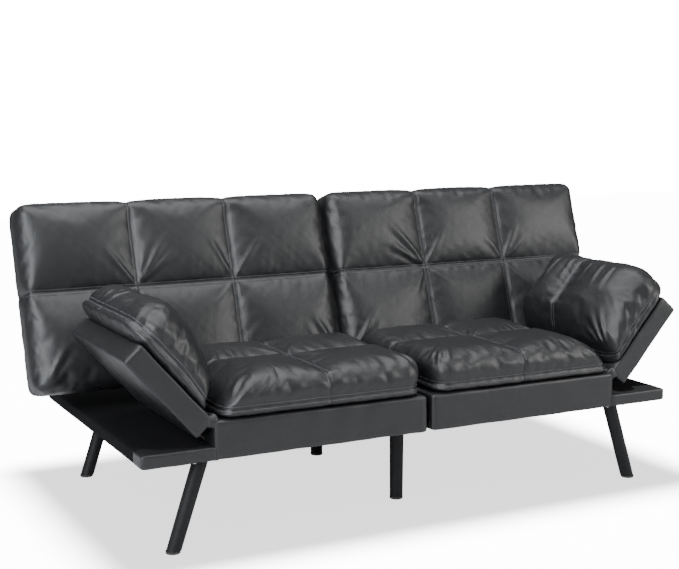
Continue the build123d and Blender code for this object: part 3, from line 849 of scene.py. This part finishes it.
armPad = {
    "place": "arm",
    "low": (0.010, -0.404, 0.002),
    "high": (0.316, 0.044, 0.128),
    "lowRadius": (0.034, 0.100, 0.014),
    "highRadius": (0.085, 0.050, 0.088),
    "seams": ([], [-0.130], [0.036]),
    "strip": 0.0054,
    "pitch": 0.0088,
    "reach": 0.09,
    "fade": 0.05,
    "seamDepth": 0.012,
    "groove": 0.0013,
    "valley": 0.0038,
    "seamWrap": 0.100,
    "bandDepth": 0.4,
    "inset": 0.006,
    "cap": 0.014,
    "pressure": 5.0,
    "slack": 0.012,
    "bend": 3.0,
    "pucker": 0.0014,
    "edgePucker": 0.0018,
    "threadLift": 0.0006,
    "fill": 0.7,
    "shear": armShear,
    "folds": {
        side: [
            ((0.285, -0.34 + 0.05 * step), 168 + 6 * (step % 3), 0.12, 0.0022, 0.007)
            for step in range(1, 7)
        ] + [
            ((0.05, -0.37 + 0.012 * step), 28 + 17 * step, 0.12 - 0.012 * step, 0.0032, 0.007)
            for step in range(4)
        ]
        for side in (1, -1)
    },
}


# Leather and cloth over boards


def makeSlab(spec, name, side, body, slot, seed):
    sizes = zip(spec["low"], spec["high"], spec["pitch"])
    lines = [gridLines(low, high, [], pitch, 0) for low, high, pitch in sizes]
    shell = Shell(lines).rounded(spec["lowRadius"], spec["highRadius"])
    shell.push(spec["ripple"] * waves(shell.points, spec["rippleSize"], seed))
    mesh = subdivided(name, shell.points, shell.faces)
    return finishPiece(name, mesh, spec["place"], side, body, slot)


seatRail = {
    "place": "seat",
    "low": (0.0072, -0.402, 0.2235),
    "high": (0.5910, -0.322, 0.3202),
    "lowRadius": (0.008, 0.010, 0.006),
    "highRadius": (0.009, 0.008, 0.009),
    "pitch": (0.012, 0.006, 0.006),
    "ripple": 0.0008,
    "rippleSize": 0.13,
}

seatBox = {
    "place": "seat",
    "low": (0.0076, -0.330, 0.2582),
    "high": (0.5907, 0.0375, 0.3195),
    "lowRadius": (0.006, 0.006, 0.006),
    "highRadius": (0.006, 0.006, 0.006),
    "pitch": (0.012, 0.012, 0.006),
    "ripple": 0.0005,
    "rippleSize": 0.14,
}

shelfWrap = {
    "place": "seat",
    "low": (0.585, -0.402, 0.2235),
    "high": (0.773, -0.335, 0.2583),
    "lowRadius": (0.005, 0.006, 0.005),
    "highRadius": (0.005, 0.006, 0.006),
    "pitch": (0.010, 0.006, 0.004),
    "ripple": 0.0005,
    "rippleSize": 0.10,
}

platformLining = {
    "place": "seat",
    "low": (0.0075, -0.392, 0.2240),
    "high": (0.7725, 0.4175, 0.2584),
    "lowRadius": (0.003, 0.003, 0.003),
    "highRadius": (0.003, 0.003, 0.003),
    "pitch": (0.016, 0.016, 0.005),
    "ripple": 0.0002,
    "rippleSize": 0.12,
}

armBoard = {
    "place": "arm",
    "low": (0.0014, -0.396, -0.0545),
    "high": (0.268, 0.042, 0.006),
    "lowRadius": (0.003, 0.005, 0.004),
    "highRadius": (0.016, 0.012, 0.006),
    "pitch": (0.008, 0.010, 0.006),
    "ripple": 0.0009,
    "rippleSize": 0.11,
}

backBoard = {
    "place": "back",
    "low": (0.022, 0.020, -0.157),
    "high": (0.883, 0.500, -0.100),
    "lowRadius": (0.014, 0.014, 0.013),
    "highRadius": (0.014, 0.014, 0.013),
    "pitch": (0.014, 0.014, 0.006),
    "ripple": 0.0010,
    "rippleSize": 0.19,
}

hingeRoll = {
    "radius": 0.0135,
    "front": -0.399,
    "rear": 0.027,
    "around": 20,
    "pitch": 0.004,
    "crumple": 0.0036,
    "bunch": 0.0035,        # extra radius at the front end, where the leather bunches up
}


def makeHingeRoll(side, name, seed):
    # The gathered strip of leather that closes the arm's hinge line.
    count = int((hingeRoll["rear"] - hingeRoll["front"]) / hingeRoll["pitch"])
    around = hingeRoll["around"]
    turn = np.arange(around) * 2 * math.pi / around
    depth = np.linspace(hingeRoll["front"], hingeRoll["rear"], count)
    fromEnd = np.minimum(depth - depth[0], depth[-1] - depth)
    ends = np.sqrt(np.clip((fromEnd + 0.0015) / 0.009, 0, 1))
    angle, place = np.meshgrid(turn, depth)
    bunch = hingeRoll["bunch"] * (1 - smooth(depth, depth[0] + 0.012, depth[0] + 0.055))
    radius = ((hingeRoll["radius"] + bunch) * ends)[:, None] * np.ones_like(angle)
    points = np.stack([radius * np.cos(angle), place, radius * np.sin(angle)], axis=-1).reshape(-1, 3)
    squeezed = points * np.array((1, 0.7, 1))
    swell = 1 + hingeRoll["crumple"] / hingeRoll["radius"] * waves(squeezed, 0.016, seed)
    points[:, (0, 2)] *= swell[:, None]
    rows = np.arange(count * around).reshape(count, around)
    following = np.roll(rows, -1, axis=1)
    faces = np.stack([rows[:-1], rows[1:], following[1:], following[:-1]], axis=-1).reshape(-1, 4).tolist()
    faces.append(rows[0].tolist())
    faces.append(rows[-1][::-1].tolist())
    mesh = bpy.data.meshes.new(name)
    mesh.from_pydata(points.tolist(), [], faces)
    made = addObject(name, mesh)
    divide = made.modifiers.new("rounding", "SUBSURF")
    divide.levels = divide.render_levels = 1
    return finishPiece(name, frozen(made), "arm", side, "base", "black_leather")


# Stitches


stitchLook = {"Pitch": 0.0052, "Length": 0.0036, "Thread": 0.00072}


def stitchTree():
    tree = bpy.data.node_groups.new("stitches", "GeometryNodeTree")
    tree.interface.new_socket("Path", in_out="INPUT", socket_type="NodeSocketGeometry")
    for label in stitchLook:
        tree.interface.new_socket(label, in_out="INPUT", socket_type="NodeSocketFloat")
    tree.interface.new_socket("Stitches", in_out="OUTPUT", socket_type="NodeSocketGeometry")
    add = tree.nodes.new
    link = tree.links.new
    given = add("NodeGroupInput")
    result = add("NodeGroupOutput")
    spaced = add("GeometryNodeResampleCurve")
    spaced.mode = "LENGTH"
    tangent = add("GeometryNodeInputTangent")
    aligned = add("FunctionNodeAlignEulerToVector")
    aligned.axis = "Z"
    bead = add("GeometryNodeMeshUVSphere")
    bead.inputs["Segments"].default_value = 6
    bead.inputs["Rings"].default_value = 4
    bead.inputs["Radius"].default_value = 1
    size = add("ShaderNodeCombineXYZ")
    half = add("ShaderNodeMath")
    half.operation = "MULTIPLY"
    half.inputs[1].default_value = 0.5
    laid = add("GeometryNodeInstanceOnPoints")
    real = add("GeometryNodeRealizeInstances")
    painted = add("GeometryNodeSetMaterial")
    painted.inputs["Material"].default_value = threadFinish
    link(given.outputs["Path"], spaced.inputs["Curve"])
    link(given.outputs["Pitch"], spaced.inputs["Length"])
    link(tangent.outputs[0], aligned.inputs["Vector"])
    link(given.outputs["Length"], half.inputs[0])
    link(given.outputs["Thread"], size.inputs["X"])
    link(given.outputs["Thread"], size.inputs["Y"])
    link(half.outputs[0], size.inputs["Z"])
    link(spaced.outputs[0], laid.inputs["Points"])
    link(bead.outputs[0], laid.inputs["Instance"])
    link(aligned.outputs[0], laid.inputs["Rotation"])
    link(size.outputs[0], laid.inputs["Scale"])
    link(laid.outputs[0], real.inputs[0])
    link(real.outputs[0], painted.inputs["Geometry"])
    link(painted.outputs[0], result.inputs[0])
    return tree


def makeStitches(tree, paths, name, body):
    curve = bpy.data.curves.new(name, "CURVE")
    curve.dimensions = "3D"
    for path in paths:
        line = curve.splines.new("POLY")
        line.points.add(len(path) - 1)
        for point, place in zip(line.points, path):
            point.co = (*place, 1)
    sewn = addObject(name, curve)
    laid = sewn.modifiers.new("stitches", "NODES")
    laid.node_group = tree
    for item in tree.interface.items_tree:
        if item.name in stitchLook and item.in_out == "INPUT":
            laid[item.identifier] = stitchLook[item.name]
    piece = addObject(name + "Row", frozen(sewn))
    piece.name = name
    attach(piece, body)
    print("stitches:", name, len(piece.data.polygons), "faces")


# Making


addCamera()
addStudio()
finishCadNodes()
print("camera, studio and finishes ready")

seatRows = []
backRows = {}
armRows = {}
for sideName, side in sides.items():
    seed = 10 if side > 0 else 50
    seatRows += makePad(seatPad, seed, side, f"{sideName}SeatPad", "base", f"{sideName}_seat_pad")
    backName, armName = f"{sideName}_back", f"{sideName}_arm"
    backRows[backName] = makePad(backPad, seed + 1, side, f"{sideName}BackPad", backName, backName + "_pad")
    armRows[armName] = makePad(armPad, seed + 2, side, f"{sideName}ArmPad", armName, armName + "_pad")
    rail = makeSlab(seatRail, f"{sideName}SeatRail", side, "base", "black_leather", seed + 3)
    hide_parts(f"{sideName}_seat_cover")
    makeSlab(seatBox, f"{sideName}SeatBox", side, "base", "black_leather", seed + 4)
    wrap = makeSlab(shelfWrap, f"{sideName}ShelfWrap", side, "base", "black_leather", seed + 5)
    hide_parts(f"{sideName}_shelf_cover")
    cloth = makeSlab(platformLining, f"{sideName}PlatformLining", side, "base", "black_lining", seed + 6)
    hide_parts(f"{sideName}_dust_cloth")
    board = makeSlab(armBoard, f"{sideName}ArmBoard", side, armName, "black_leather", seed + 7)
    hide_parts(f"{sideName}_arm_cover")
    rear = makeSlab(backBoard, f"{sideName}BackBoard", side, backName, "black_leather", seed + 8)
    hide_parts(f"{sideName}_back_cover")
    makeHingeRoll(side, f"{sideName}HingeRoll", seed + 9)

tree = stitchTree()
makeStitches(tree, seatRows, "seatStitches", "base")
for body, rows in {**backRows, **armRows}.items():
    makeStitches(tree, rows, body.replace("_", "") + "Stitches", body)
